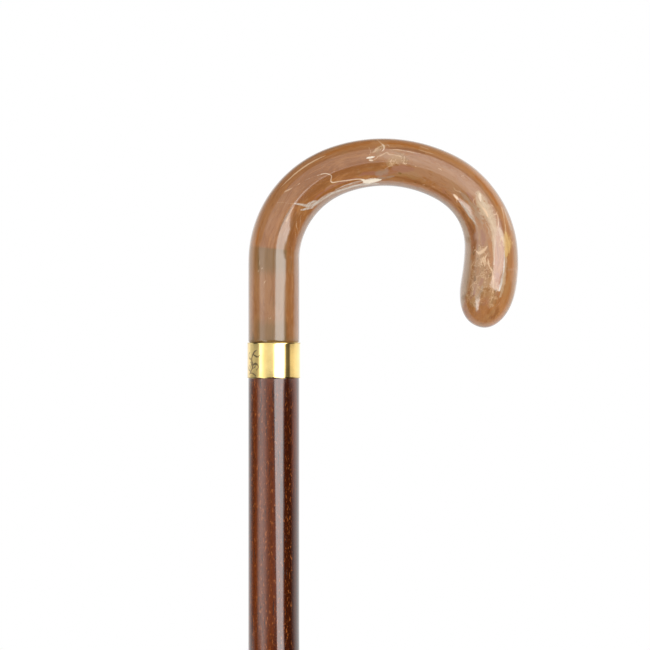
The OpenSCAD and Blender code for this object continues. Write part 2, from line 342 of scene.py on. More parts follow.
        # Painted highlight: widens the small lamp's reflection under the right shoulder
        [(153, -5.2, 0.4), (158, -5.4, 1), (164, -5.1, 1), (168, -4.7, 0.4)],
        [(149, -2, 0.6), (153, -2.3, 1.1), (158, -2.1, 1.2), (164, -2.2, 1.3), (168, -1.8, 0.6)],
        [(165, 9.8, 1), (169, 9.8, 1.1), (173, 9.8, 0.8)],
        [(106.6, -7.6, 0.4), (110, -7.4, 1), (113.6, -7, 0.8), (116, -6.4, 0.3)],
        [(60, -10, 0.5), (66, -9.8, 0.8), (72, -9.6, 0.8)],
        # Painted highlight on the nose: lengthens the small lamp's reflection there
        [(197.6, -2.9, 0.5), (201, -3.4, 1), (204, -3.9, 1.1), (206.4, -3.6, 1.1), (208.4, -2.9, 0.8),
         (209.6, -2.3, 0.1)],
    ],
    # Pale clouds over the top, down the right shoulder and beside the squiggle. The first cloud, over the top
    # and down the right shoulder, is partly painted reflection of the white wall.
    "haze": [
        # Partly painted reflection of the white wall, along the outer half
        [(110, 2.6, 1.2), (116, 2.2, 2.4), (126, 1.2, 3.4), (136, 0.8, 4), (146, 1, 4), (153, 1.6, 3)],
        [(116, -3, 1.4), (122, -3, 2), (130, -2.6, 2.6), (138, -2.6, 3), (146, -3.6, 2.6)],
        [(156, -2.8, 1), (162, -3, 2.2), (170, -2.6, 3), (178, -3, 2.2)],
        [(79, -6.4, 0.3), (81, -5.7, 0.6), (83, -5.5, 0.6), (86, -5.8, 0.3)],
        [(132, -2, 2), (140, -2, 2.6), (148, -2.4, 2.4)],
    ],
    # Sandy patches, cracked all over, on the top and round the nose
    "sand": [
        [(106.6, 4.6, 0.8), (108.6, 5.4, 1.2), (110.4, 6.6, 1.1)],
        [(113.4, -1.4, 1.2), (115, 0.6, 2), (118, 1.6, 2.2), (120.6, 1, 1.6)],
        [(180, -5.6, 2), (184, -5.2, 3.2), (190, -4.8, 4.6), (197, -4.6, 5), (203, -5.4, 4), (207, -5, 2)],
        [(189, 0, 1.2), (194, 0.4, 1.6), (199, 2.4, 2.4), (204, 3, 1.8)],
    ],
    # The cream drift down the right leg, and beside it a painted highlight band
    "pearl": [
        [(155.2, 3.2, 1.3), (158, 2.3, 2.5), (161, 2, 2.9), (164, 2.2, 3.3), (167, 2.4, 3.5), (170, 2, 3.1),
         (173, 1.4, 2), (176, 0.8, 1.1), (181, 0.5, 0.8), (187, 0.9, 0.4)],
        # Painted highlight: a pale band where the white wall's reflection runs down the right leg
        [(172, 4.6, 1.1), (177, 5.7, 1), (183, 6, 1.1), (190, 6, 1.25), (196, 5.9, 1.25), (200.4, 5.6, 0.7)],
    ],
    # The golden patch in the right leg
    "gold": [
        [(174.2, 7, 1.1), (176.6, 7, 2.3), (179.5, 6.7, 2.4), (181.8, 6.5, 1.7), (183.4, 6.3, 0.5)],
    ],
    # Deep pools between the paler bands. The short one at the start of the bend is painted shade, which dims
    # the reflected stripe there
    "amber": [
        [(64, -1.2, 0.8), (67, -1.4, 2.2), (73, -0.9, 3.9), (79, -0.7, 4), (84, -0.9, 3)],
        [(86.6, -0.9, 2.4), (91, -0.8, 3.5), (96, -0.8, 3.7), (101, -0.8, 3), (108, -1, 1.9)],
        [(113.6, 6, 0.4), (120, 6, 0.9), (127.4, 6.1, 0.5)],
        [(44, -7, 1.2), (50, -6.6, 1.4), (56, -5, 1.1), (61, -3.8, 1)],
        # Painted shade: dims the reflected stripe where the bar starts to bend
        [(56, -0.8, 0.25), (59, -0.8, 0.4), (62, -0.8, 0.3)],
        [(72.6, -7.1, 0.2), (76, -7.1, 0.4), (82, -7, 0.4), (90, -6.9, 0.45), (98, -7.3, 0.25)],
        [(115, -6.8, 0.5), (122, -6.8, 0.8), (130, -7.4, 0.9), (140, -7.6, 1), (148, -7.6, 0.8)],
        [(154, -7.1, 0.6), (160, -7.7, 1.2), (168, -7.5, 1.5), (176, -7.2, 1.6), (182, -8, 0.8)],
        [(98.6, -8.4, 0.1), (99.8, -8.3, 0.4), (100.3, -8.5, 0.2)],
        [(120, 6.1, 0.15), (124, 6, 0.3), (127.4, 6.4, 0.3)],
        [(205, 6.4, 0.8), (208, 5.8, 1.2), (210, 4.6, 1)],
        [(0.5, -6, 1.7), (4, -6, 1.4), (9, -5.8, 0.5)],
        [(196.6, -5.8, 0.2), (200, -6.1, 0.5), (203, -5.7, 0.4)],
    ],
    # Deep orange along the outer side
    "rust": [
        [(43, 8.2, 0.5), (45, 8.4, 0.9), (49, 8.6, 0.4)],
        [(86, 8, 0.7), (92, 8.3, 1.2), (98, 8.6, 1.7), (105, 8.6, 1.5)],
        [(112, 8.4, 1), (118, 8.6, 1.5), (124, 8, 1)],
        [(150, 7.8, 0.8), (158, 7.7, 1), (163, 7.5, 0.5)],
    ],
    # Patches with a pink cast
    "mauve": [
        [(98.6, -5.4, 0.4), (101.4, -5, 0.9), (104.4, -5, 1.1), (107.2, -5.4, 0.8)],
        [(107.6, -6.4, 0.8), (111, -6, 1.5), (115, -4.4, 1.9), (119, -2.8, 1.8), (124, -2.2, 1)],
        [(71, -6.1, 0.3), (78, -6, 0.6), (86, -6, 0.6), (94, -6.1, 0.6), (98, -6.3, 0.3)],
        [(113, -4.6, 0.8), (115.4, -4.8, 1)],
        [(152, -0.4, 0.5), (154.8, -0.6, 1), (158, -1.2, 0.7)],
        [(171, -3.4, 0.8), (175, -3.4, 1.2), (178, -4, 0.7)],
        [(194, -3.6, 0.6), (197, -4.2, 0.8)],
        [(199, -6, 0.3), (202, -5.8, 0.4), (205, -7.2, 0.35)],
    ],
    # Small dark specks, and thin olive lines in the stem. Two are painted shade: a line along the start of
    # the bend and a patch beside the collar
    "speck": [
        [(118, -4.9, 0.3), (118.7, -5, 0.5), (119.4, -5, 0.2)],
        [(127, -7.6, 0.3), (127.4, -7.6, 0.45), (127.9, -7.7, 0.2)],
        [(143.2, -6.1, 0.25), (143.8, -6.2, 0.25)],
        [(145.1, -6.4, 0.2), (145.7, -6.6, 0.2)],
        [(191.2, -0.1, 0.3), (192, -0.3, 0.45), (192.7, -0.6, 0.25)],
        [(197.3, 3, 0.35), (198.2, 3.1, 0.5), (198.9, 2.7, 0.2)],
        [(193.2, -7.1, 0.3), (195, -6.8, 0.55), (195.7, -6.7, 0.25)],
        [(200.1, -7.7, 0.3), (200.6, -7.9, 0.25)],
        [(202, -9.9, 0.35), (202.8, -9.7, 0.15)],
        [(184.5, -6.6, 0.3), (185, -6.7, 0.2)],
        [(181, -8.4, 0.5), (182.4, -8.4, 0.4)],
        [(186.7, -4.7, 0.2), (187, -4.5, 0.15)],
        [(196.4, -9.7, 0.3), (197.4, -9.7, 0.2)],
        [(154.6, 2.6, 0.2), (154.8, 2.4, 0.15)],
        [(1, 0.35, 0.2), (6, 0.3, 0.25), (7, 0.25, 0.05)],
        # Painted shade: a dark line that dims the reflected stripe where the bar starts to bend
        [(48, -0.4, 0.15), (52.4, -0.6, 0.35), (56, -0.8, 0.45), (60, -0.8, 0.4), (63.4, -0.8, 0.15)],
        [(10, 0.15, 0.1), (18, 0.15, 0.2), (26, 0.1, 0.08)],
        # Painted shade beside the collar, on the stem's outer side
        [(0.4, 9.3, 1), (2, 9.3, 1), (4.6, 9.4, 0.3)],
        [(30.6, -7.9, 0.1), (34, -7.9, 0.25), (37, -7.9, 0.1)],
        [(30, 6.9, 0.1), (35, 6.7, 0.25), (40, 6.9, 0.1)],
        [(190.8, 4.3, 0.15), (191.4, 4.2, 0.15)],
    ],
}
# The same marks are in the back, turned round the bar and moved along it (mm), away from its ends
BACK_TURN = math.radians(172)
BACK_SHIFT = 9
END_MARGIN = 1
# The field's value away from all marks, in half-widths
FAR = 4.0


def smooth_path(knots, steps=4):
    """A curve through knots, as Catmull-Rom pieces."""
    p = np.array([2 * np.array(knots[0]) - knots[1], *knots, 2 * np.array(knots[-1]) - knots[-2]])
    t = np.arange(steps)[:, None] / steps
    pieces = [
        0.5 * (2 * b + (c - a) * t + (2 * a - 5 * b + 4 * c - d) * t**2 + (3 * b - a - 3 * c + d) * t**3)
        for a, b, c, d in zip(p, p[1:], p[2:], p[3:])
    ]
    return np.concatenate([*pieces, p[-2:-1]])


def off_stroke(points, a, b, half_a, half_b):
    """How far points lie from the line between a and b, as a share of its half-width there."""
    step = b - a
    off = points - a
    t = np.clip(off @ step / max(step @ step, TINY), 0, 1)
    return np.linalg.norm(off - t[:, None] * step, axis=1) / (half_a + (half_b - half_a) * t)


def mark_field(points, paths):
    """How far each point lies from the nearest path, as a share of that path's half-width there."""
    field = np.full(len(points), FAR)
    for path in paths:
        s, across, half = smooth_path(path).T
        turn = turn_of(s, across)
        reach = half.max() * FAR
        for back_turn, shift in ((0, 0), (BACK_TURN, BACK_SHIFT)):
            along = np.clip(s + shift, END_MARGIN, BAR_L - END_MARGIN)
            line = on_bar(along, turn + back_turn, skin_radius(along))
            near = np.flatnonzero(((points > line.min(0) - reach) & (points < line.max(0) + reach)).all(1))
            for stroke in zip(line, line[1:], half, half[1:]):
                field[near] = np.minimum(field[near], off_stroke(points[near], *stroke))
    return field


class Look:
    """A material or world under construction: nodes come from add(), and their outputs do arithmetic."""

    def __init__(self, owner):
        owner.use_nodes = True
        self.owner = owner
        self.tree = owner.node_tree
        self.tree.nodes.clear()

    def add(self, kind, settings=None, values=None):
        """Adds a node, makes its settings, then sets or links its sockets. Returns its outputs by name."""
        node = self.tree.nodes.new("ShaderNode" + kind)
        for name, value in (settings or {}).items():
            if name == "stops":
                self.set_stops(node.color_ramp, value)
            else:
                setattr(node, name, value)
        for name, value in (values or {}).items():
            socket = find_socket(node.inputs, name)
            if isinstance(value, Signal):
                self.tree.links.new(value.socket, socket)
            else:
                socket.default_value = value
        return Outputs(self, node)

    @staticmethod
    def set_stops(ramp, stops):
        """Puts (place, colour) stops on a colour ramp."""
        ramp.elements.remove(ramp.elements[1])
        ramp.elements[0].position = stops[0][0]
        ramp.elements[0].color = (*stops[0][1], 1)
        for place, colour in stops[1:]:
            ramp.elements.new(place).color = (*colour, 1)

    def mix(self, share, first, second):
        """The colour that goes from first to second as share goes from 0 to 1."""
        return self.add(
            "Mix",
            {"data_type": "RGBA"},
            {"Factor_Float": share, "A_Color": opaque(first), "B_Color": opaque(second)},
        )["Result_Color"]

    def layered(self, colour, layers):
        """A colour with layers over it, each of them (share, colour) and over the one before."""
        for share, layer in layers:
            colour = self.mix(share, colour, layer)
        return colour

    def ease(self, value, low, high, start=0.0, end=1.0):
        """Goes softly from start to end as value goes from low to high."""
        return self.add(
            "MapRange",
            {"interpolation_type": "SMOOTHSTEP"},
            {"Value": value, "From Min": low, "From Max": high, "To Min": start, "To Max": end},
        )["Result"]

    def between(self, value, rise, fall):
        """1 where value lies between two soft edges, each given by where it starts and where it is full."""
        return self.ease(value, *rise) * self.ease(value, *fall)

    def noise(self, place, scale, detail=2.0, roughness=0.5):
        """Cloudy values about a half."""
        values = {"Vector": place, "Scale": scale, "Detail": detail, "Roughness": roughness}
        return self.add("TexNoise", None, values)["Fac"]

    def drift(self, place, scale):
        """Three cloudy values, which carry other patterns sideways."""
        return self.add("TexNoise", None, {"Vector": place, "Scale": scale, "Detail": 2.0})["Color"]

    def place(self):
        """The place in the piece, in metres."""
        return self.add("TexCoord")["Object"]

    def parts(self, vector):
        """A vector's X, Y and Z."""
        return self.add("SeparateXYZ", None, {"Vector": vector})

    def maths(self, operation, *values):
        """A Math node that Python has no sign for."""
        return self.add("Math", {"operation": operation}, dict(enumerate(values)))["Value"]

    def round_about(self, azimuth, levels):
        """A brightness that goes through the given levels as the azimuth goes round."""
        stops = [((a + 180) / 360, (level / BRIGHTEST,) * 3) for a, level in levels]
        turned = self.add("MapRange", None, {"Value": azimuth, "From Min": -180.0, "From Max": 180.0})
        grey = self.add("ValToRGB", {"stops": stops}, {"Fac": turned["Result"]})["Color"]
        return self.add("RGBToBW", None, {"Color": grey})["Val"] * BRIGHTEST

    def field(self, name):
        """A value that the mesh keeps for each point."""
        return self.add("Attribute", {"attribute_name": name})["Fac"]

    def bump(self, strength, distance, height):
        """The normal of a surface that the height roughens."""
        values = {"Strength": strength, "Distance": distance, "Height": height}
        return self.add("Bump", None, values)["Normal"]

    def finish(self, shader, kind="OutputMaterial"):
        """Ends with the given shader."""
        self.add(kind, None, {"Surface": shader})

    def finish_surface(self, values):
        """Ends with a Principled shader of the given values, and returns the material."""
        self.finish(self.add("BsdfPrincipled", None, values)["BSDF"])
        return self.owner


class Outputs:
    """A node's outputs, each of them a Signal."""

    def __init__(self, look, node):
        self.look = look
        self.node = node

    def __getitem__(self, name):
        return Signal(self.look, find_socket(self.node.outputs, name))


class Signal:
    """An output socket with arithmetic: each operation on it adds a Math or Vector Math node."""

    def __init__(self, look, socket):
        self.look = look
        self.socket = socket

    def combined(self, operation, first, second):
        """One operation on two values, or on two colours or vectors."""
        parts = [p.socket.type for p in (first, second) if isinstance(p, Signal)]
        kind = "VectorMath" if "VECTOR" in parts or "RGBA" in parts else "Math"
        result = self.look.add(kind, {"operation": operation}, {0: first, 1: second})
        return result["Vector" if kind == "VectorMath" else "Value"]

    def __add__(self, other):
        return self.combined("ADD", self, other)

    def __radd__(self, other):
        return self.combined("ADD", other, self)

    def __sub__(self, other):
        return self.combined("SUBTRACT", self, other)

    def __rsub__(self, other):
        return self.combined("SUBTRACT", other, self)

    def __mul__(self, other):
        return self.combined("MULTIPLY", self, other)

    def __rmul__(self, other):
        return self.combined("MULTIPLY", other, self)

    def most(self, other):
        """The larger of the two."""
        return self.combined("MAXIMUM", self, other)


def find_socket(sockets, name):
    """A socket by its number, its identifier or its name."""
    if isinstance(name, int):
        return sockets[name]
    for key in ("identifier", "name"):
        for socket in sockets:
            if getattr(socket, key) == name:
                return socket
    raise KeyError(name)


def opaque(colour):
    """A colour with the fourth value that a socket asks for."""
    return colour if isinstance(colour, Signal) else (*colour[:3], 1.0)


def new_look(name):
    """The Look of a new material."""
    return Look(bpy.data.materials.new(name))


# Where the acrylic changes along the bar, in mm. Each is where the change starts and where it is full.
# Painted shade at the bar's foot, where the collar's edge shades it
FOOT_SHADE = (3.5, 0.5)
# Where the painted shade up the stem's inner half fades out
STEM_SHADE_END = (66, 40)
TO_TOP = (60, 110)
# Where the painted light along the outer side grows over the top, and where it fades down the right leg
EDGE_LIGHT_FROM, EDGE_LIGHT_TO = (70, 110), (168, 182)
INNER_FROM = (20, 70)
FILM_PALER = (140, 165)
PEARL_END = (176, 168)
# Where it changes across the bar, in mm from its middle towards its inner side
# The band of painted light near the outer side
EDGE_LIGHT_BAND = (-5.8, -7.4)
OUTER_EDGE = (-9.4, -10.8)
INNER_EDGE = (8.4, 9.8)
# The painted shade up the stem's inner half, under its reflected stripe
STEM_SHADE = ((0.4, 1.2), (6, 4.8))
# The glue above the stud, in mm
STUD_GAP = 1


def acrylic(looks):
    """Pearl-amber acrylic, marbled along the bar, with its marks, the glued stud showing in the stem, and
    painted light and shade.
    """
    look = new_look("amber_acrylic")
    unbent = look.add("Attribute", {"attribute_name": "unbent"})["Vector"]
    place = look.parts(unbent)
    along, inward = place["Z"], place["X"]
    drift = look.drift(unbent, 0.05)
    bands = look.noise(unbent * (0.2, 0.2, 0.022) + drift * (1.8, 1.8, 1.8), 1.0, 3.0, 0.55)
    stains = look.noise(unbent * (0.15, 0.15, 0.06) + drift * (2, 2, 2) + (7.0, 3.0, 1.0), 1.0, 4.0, 0.6)
    streaks = look.noise(unbent * (0.75, 0.75, 0.07) + drift * (5, 5, 5), 1.0, 3.0, 0.65)
    threads = look.noise(unbent * (2.2, 2.2, 0.16) + drift * (9, 9, 9), 1.0, 2.0, 0.6)
    clouds = look.noise(unbent + drift * (8, 8, 8), 0.2, 4.0, 0.7)
    grit = look.noise(unbent * (1, 1, 0.6), 1.3, 4.0, 0.7)
    wander = (grit - 0.5) * 1.5
    ragged = wander + (clouds - 0.5) * 2.4 + (streaks - 0.5) * 2.0

    def cover(kind, outer=1.35, inner=0.3):
        """Where a soft kind of mark lies, with ragged edges."""
        return look.ease(look.field(kind) + ragged, outer, inner)

    def crisp(kind, unsteady, outer, inner):
        """Where a crisp kind of mark lies, with edges that are a little unsteady."""
        return look.ease(look.field(kind) + wander * unsteady, outer, inner)

    # Painted light: a warm, lighter band near the outer side, stronger over the top. And the beige film,
    # strongest along the inner side
    edge = inward + ragged * 0.8
    edge_light = look.ease(along, *EDGE_LIGHT_FROM, 0.15, 0.75) * look.ease(along, *EDGE_LIGHT_TO, 1, 0.5)
    inner = look.ease(edge, *INNER_EDGE) * look.ease(along, *INNER_FROM, 0.4, 0.85)
    beige = look.mix(look.ease(along, *FILM_PALER), looks.beige, looks.pale_beige)
    # Pale and dark cracks in the sandy patches
    cracked = crisp("sand", 1, 1.6, 0.6)
    cracks = look.maths("ABSOLUTE", clouds + (grit - 0.5) * 0.1 - 0.5)
    fissures = look.maths("ABSOLUTE", clouds + (grit - 0.5) * 0.3 - 0.56)
    # The cream drift with the painted highlight band beside it, and how faint the thin lines are
    drift_and_highlight = cover("pearl", 1.25, 0.2) * look.ease(streaks, 0.3, 0.6, 0.55, 1)
    drift_and_highlight = drift_and_highlight * look.ease(along, *PEARL_END, 0.8, 1) * look.ease(grit, 0.3, 0.6, 0.7, 1)
    faint = look.ease(clouds + grit, 0.8, 1.15, 0.25, 0.8)
    # The stud in the stem: olive where it ends and near the collar, and clearer between
    core_end = BORE_TOP - COLLAR_TOP - STUD_GAP
    core = look.ease(along + wander * 0.5, core_end + 0.7, core_end - 0.7)
    ends = look.ease(along + wander, core_end - 16, core_end - 4) + look.ease(along + wander, 14, 3)
    across = inward + wander * 0.5
    depth = look.ease(across, -8.4, -6, 0.5, 1) * look.ease(across, 6.4, 5, 0.2, 1)
    depth = depth * look.ease(ends + streaks, 0.45, 1.3, 0.25, 1)
    stem_shade = look.between(inward, *STEM_SHADE) * look.ease(along, *STEM_SHADE_END)

    colour = look.mix(look.ease(bands, 0.38, 0.6), looks.amber, looks.tan)
    colour = look.layered(colour, [
        # Stains and streaks, the painted light along the outer side, and the outer edge
        (look.ease(stains, 0.52, 0.66) * look.ease(along, *TO_TOP, 0.15, 0.7), looks.olive),
        (look.ease(stains, 0.46, 0.34) * look.ease(along, *TO_TOP, 0.1, 0.5), looks.mauve),
        (look.ease(streaks, 0.53, 0.7) * 0.6, looks.glow),
        (look.ease(streaks, 0.46, 0.3) * 0.7, looks.deep),
        # Painted light along the outer side
        (look.ease(edge, *EDGE_LIGHT_BAND) * edge_light, looks.glow),
        (look.ease(edge, *OUTER_EDGE) * 0.55, looks.olive),
        # Soft marks
        # Pale clouds, partly painted reflection of the white wall over the top
        (cover("haze") * 0.65, looks.haze),
        (cover("sand") * 0.7, looks.sand),
        (cover("amber") * 0.75, looks.deep),
        (cover("rust") * 0.8, looks.rust),
        (cover("mauve") * 0.6, looks.mauve),
        (inner, beige),
        # Beige film, and painted highlights
        (cover("film") * 0.75, beige),
        # Fine threads and cracks
        (look.ease(threads, 0.55, 0.72) * 0.4, looks.haze),
        (look.ease(threads, 0.44, 0.28) * 0.45, looks.deep),
        (look.ease(cracks, 0.02, 0.004) * cracked * 0.5, looks.peach),
        (look.ease(fissures, 0.016, 0.004) * cracked * 0.5, looks.speck),
        # The drift with its painted highlight band, the golden patch, and then the crisp marks, some of them
        # painted highlights and shade
        (drift_and_highlight * 0.95, looks.pearl),
        (cover("gold", 1.3, 0.2) * look.ease(threads, 0.3, 0.6, 0.6, 0.95), looks.gold),
        # Silvery smoke, and painted highlights
        (crisp("smoke", 1, 1.8, 0.4) * look.ease(threads, 0.32, 0.6, 0.3, 0.9), looks.smoke),
        (crisp("wisp", 1.2, 1.6, 0.2) * faint, looks.peach),
        # Peach burst, lines and flecks, and a painted highlight stroke
        (crisp("burst", 1, 1.6, 0.4) * 0.95, looks.peach),
        (crisp("vein", 0.8, 1.7, 0.4) * look.ease(grit, 0.3, 0.6, 0.6, 0.9), looks.cream),
        (crisp("blot", 0.8, 1.4, 0.6) * look.ease(threads, 0.3, 0.6, 0.85, 1), looks.white),
        # Dark specks and lines, and painted shade
        (crisp("speck", 1.3, 1.6, 0.2) * 0.6, looks.speck),
        # The stud; painted shade at the stem's foot, where the collar's edge shades it; and a strip of
        # painted shade up the stem's inner half, under its reflected stripe
        (core * depth * looks.core_depth, looks.core),
        (look.ease(along, *FOOT_SHADE) * 0.4, looks.core),
        (stem_shade * 0.5, looks.core),
    ])
    return look.finish_surface({
        "Base Color": colour,
        "Roughness": look.ease(grit, 0.3, 0.8, looks.gloss, looks.gloss + 0.06),
        "IOR": 1.49,
        "Coat Weight": 1.0,
        "Coat Roughness": 0.03,
        "Coat IOR": 1.5,
        "Normal": look.bump(0.05, 0.0002, clouds),
    })


# The painted dark reflection: a strip of deeper brass, in metres from the collar's middle towards its right
DARK_REFLECTION_STRIP = ((0.004, 0.007), (0.0105, 0.0082))


def brass(looks):
    """Polished gold-coloured brass: faint lapping lines round it, and a painted dark reflection, as deeper
    brass, on its right.
    """
    look = new_look("polished_brass")
    place = look.place()
    lines = look.noise(place * (60, 60, 9000), 1.0, 2.0, 0.6)
    patches = look.noise(place, 180.0, 3.0, 0.55)
    across = look.parts(place)["X"]
    # Random tarnished patches, and the strip of painted dark reflection on the right
    tarnish_and_dark_reflection = (look.ease(patches, 0.35, 0.7) * 0.35).most(look.between(across, *DARK_REFLECTION_STRIP) * 0.8)
    colour = look.mix(tarnish_and_dark_reflection, looks.brass, looks.brass_deep)
    engraved = look.ease(look.field("scroll"), 1.15, 0.7)
    colour = look.mix(engraved * 0.7, colour, looks.engraving)
    return look.finish_surface({
        "Base Color": colour,
        "Metallic": 1.0,
        "Roughness": look.ease(patches, 0.3, 0.75, looks.polish, looks.polish + 0.03) + engraved * 0.2,
        "Coat Weight": 1.0,
        "Normal": look.bump(0.3, 0.0001, lines * 0.006 - engraved),
    })


# Painted light and shade down the shaft's front, in metres from its middle towards its right: a lit band on
# the left and a shaded band on the right
LIT_BAND = ((-0.01, -0.007), (0.001, -0.0015))
SHADED_BAND = ((0.0042, 0.0054), (0.009, 0.008))
FLECKS_END = (0.0092, 0.0075)
# How far back the painted light and shade bands end, in metres from the shaft's middle, with its front at
# minus
FRONT = (0, -0.004)


def stained_wood(looks):
    """Dark red-brown wood with straight grain, orange flecks and black pores, under gloss lacquer, with
    painted light and shade down its front.
    """
    look = new_look("stained_wood")
    place = look.place()
    sway = look.drift(place * (1, 1, 0.4), 14.0)
    grain = look.noise(place * (230, 230, 5.5) + sway * (1.8, 1.8, 1.8), 1.0, 4.0, 0.6)
    figure = look.noise(place * (90, 90, 4) + sway * (1.2, 1.2, 1.2), 1.0, 3.0, 0.55)
    flecks = look.noise(place * (1500, 1500, 420), 1.0, 3.0, 0.65)
    pores = look.noise(place * (1500, 1500, 95) + sway, 1.0, 3.0, 0.6)
    speckle = look.noise(place * (1900, 1900, 800), 1.0, 2.0, 0.6)
    # The painted bands of light and shade have unsteady edges
    swayed = look.parts(place + (sway - (0.5, 0.5, 0.5)) * (0.003, 0.003, 0))
    across = swayed["X"]
    front = look.ease(swayed["Y"], *FRONT)
    banded = look.ease(figure, 0.4, 0.58, 0.4, 0.9) * look.ease(across, *FLECKS_END, 0.25, 1)
    colour = look.mix(look.ease(grain, 0.36, 0.62), looks.stain_dark, looks.stain)
    colour = look.layered(colour, [
        (look.ease(figure, 0.5, 0.7) * 0.75, looks.stain_warm),
        # Painted light: a warmer, lighter band down the left of the front
        (look.between(across, *LIT_BAND) * front * 0.45, looks.stain_warm),
        # Painted shade: a darker band down the right of the front, where the shaft's reflection is dark
        (look.between(across, *SHADED_BAND) * front * 0.65, looks.stain_dark),
        # Fine dark speckle, flecks that gather in the figure, and pores
        (look.ease(speckle, 0.48, 0.34) * 0.45, looks.stain_dark),
        (look.ease(flecks, 0.56, 0.7) * banded, looks.fleck),
        (look.ease(pores, 0.43, 0.3) * 0.85, looks.pore),
    ])
    height = look.ease(pores, 0.36, 0.27) * -0.4 + look.noise(place * (1, 1, 0.3), 120.0, 2.0)
    return look.finish_surface({
        "Base Color": colour,
        "Roughness": look.ease(pores, 0.4, 0.3, looks.lacquer, looks.lacquer + 0.15),
        "Coat Weight": 1.0,
        "Coat Roughness": 0.035,
        "Normal": look.bump(0.06, 0.0003, height),
    })


# The height up to which the rubber is scuffed, in metres
SCUFFED = (0.006, 0.001)


def rubber(looks):
    """Moulded rubber: fine grain, a dusty bloom on what stands proud, and scuffs at the foot."""
    look = new_look("moulded_rubber")
    place = look.place()
    height = look.parts(place)["Z"]
    skin = look.noise(place, 2600.0, 2.0, 0.6)
    bloom = look.noise(place, 140.0, 4.0, 0.6)
    scuffs = look.noise(place * (1, 1, 3), 420.0, 3.0, 0.7)
    worn = look.ease(height, *SCUFFED) * look.ease(scuffs, 0.45, 0.7)
    colour = look.mix(look.ease(bloom, 0.4, 0.75) * 0.5, looks.rubber, looks.bloom)
    colour = look.mix(worn * 0.7, colour, looks.bloom)
    return look.finish_surface({
        "Base Color": colour,
        "Roughness": look.ease(bloom, 0.3, 0.8, 0.5, 0.75) + worn * 0.15,
        "Specular IOR Level": 0.4,
        "Normal": look.bump(0.25, 0.0002, skin + scuffs * worn),
    })


def zinc_steel(looks):
    """Zinc-plated steel with a fine turned grain and dull patches."""
    look = new_look("zinc_steel")
    place = look.place()
    turned = look.noise(place * (300, 300, 5200), 1.0, 2.0, 0.6)
    patches = look.noise(place, 260.0, 3.0, 0.6)
    colour = look.mix(look.ease(patches, 0.35, 0.7), looks.steel, looks.steel_dull)
    return look.finish_surface({
        "Base Color": colour,
        "Metallic": 1.0,
        "Roughness": look.ease(patches, 0.3, 0.8, 0.28, 0.45),
        "Normal": look.bump(0.15, 0.0001, turned),
    })


def cured_epoxy(looks):
    """Cured glue: honey-coloured, uneven, with small bubbles."""
    look = new_look("cured_epoxy")
    place = look.place()
    thick = look.noise(place, 160.0, 3.0, 0.6)
    bubbles = look.add("TexVoronoi", None, {"Vector": place, "Scale": 900.0})["Distance"]
    colour = look.mix(look.ease(thick, 0.35, 0.7), looks.epoxy, looks.epoxy_dark)
    colour = look.mix(look.ease(bubbles, 0.22, 0.12) * 0.5, colour, looks.epoxy_pale)
    return look.finish_surface({
        "Base Color": colour,
        "Roughness": look.ease(thick, 0.3, 0.8, 0.18, 0.34),
        "Coat Weight": 0.4,
        "Normal": look.bump(0.3, 0.0002, bubbles),
    })


def colour_property(name, description, default):
    """A colour that the panel shows."""
    limits = {"size": 3, "min": 0, "max": 1}
    return FloatVectorProperty(name=name, description=description, subtype="COLOR", default=default, **limits)


def share_property(name, description, default, least=0.02):
    """A share of 1 that the panel shows, such as a roughness."""
    limits = {"min": least, "max": 1}
    return FloatProperty(name=name, description=description, subtype="FACTOR", default=default, **limits)


def brightness_property(name, description, default):
    """A lamp's or a surface's brightness."""
    return FloatProperty(name=name, description=description, min=0, default=default)


class HandleLook(bpy.types.PropertyGroup):
    """The acrylic's colours."""

    amber: colour_property("Amber", "The acrylic's main orange-brown", (0.285, 0.106, 0.028))
    tan: colour_property("Tan", "The paler bands along the bar", (0.345, 0.148, 0.052))
    olive: colour_property("Olive", "Greener stains", (0.3, 0.165, 0.065))
    deep: colour_property("Deep amber", "The deepest pools", (0.24, 0.088, 0.024))
    rust: colour_property("Rust", "Deep orange along the outer side", (0.37, 0.125, 0.02))
    # Glow is also the colour of the painted light along the outer side
    glow: colour_property("Glow", "The warm band along the outer side", (0.43, 0.19, 0.06))
    # Also the colour of the painted reflection over the top
    haze: colour_property("Haze", "The pale clouds over the top and down the leg", (0.38, 0.205, 0.11))
    sand: colour_property("Sand", "The cracked patches", (0.39, 0.225, 0.1))
    mauve: colour_property("Mauve", "The patches with a pink cast", (0.3, 0.13, 0.085))
    # Beige and pale beige are also the colours of the painted highlights under the right shoulder and on the
    # nose
    beige: colour_property("Beige", "The film on the inner side", (0.31, 0.2, 0.135))
    pale_beige: colour_property("Pale beige", "The film towards the end", (0.38, 0.26, 0.165))
    gold: colour_property("Gold", "The golden patch in the right leg", (0.6, 0.38, 0.14))
    # Also the colour of the painted highlight band down the right leg
    pearl: colour_property("Pearl", "The cream drift", (0.56, 0.42, 0.27))
    # Also the colour of the painted highlights under the right shoulder and down the right leg
    smoke: colour_property("Smoke", "The silvery strand", (0.55, 0.49, 0.42))
    # Also the colour of a painted highlight stroke before the right shoulder
    peach: colour_property("Peach", "Thin lines, and the burst", (0.66, 0.44, 0.26))
    cream: colour_property("Cream", "The squiggle", (0.72, 0.56, 0.4))
    white: colour_property("White", "The blots", (0.8, 0.7, 0.56))
    # Also the colour of the painted shade at the start of the bend and beside the collar
    speck: colour_property("Speck", "Dark specks", (0.13, 0.065, 0.014))
    # Core is also the colour of the painted shade at the stem's foot and up its inner half
    core: colour_property("Core", "The glued stud as it shows through the stem", (0.165, 0.098, 0.032))
    core_depth: share_property("Core depth", "How strongly the stud shows through", 0.7, least=0)
    gloss: share_property("Gloss", "Roughness of the polished acrylic", 0.12)


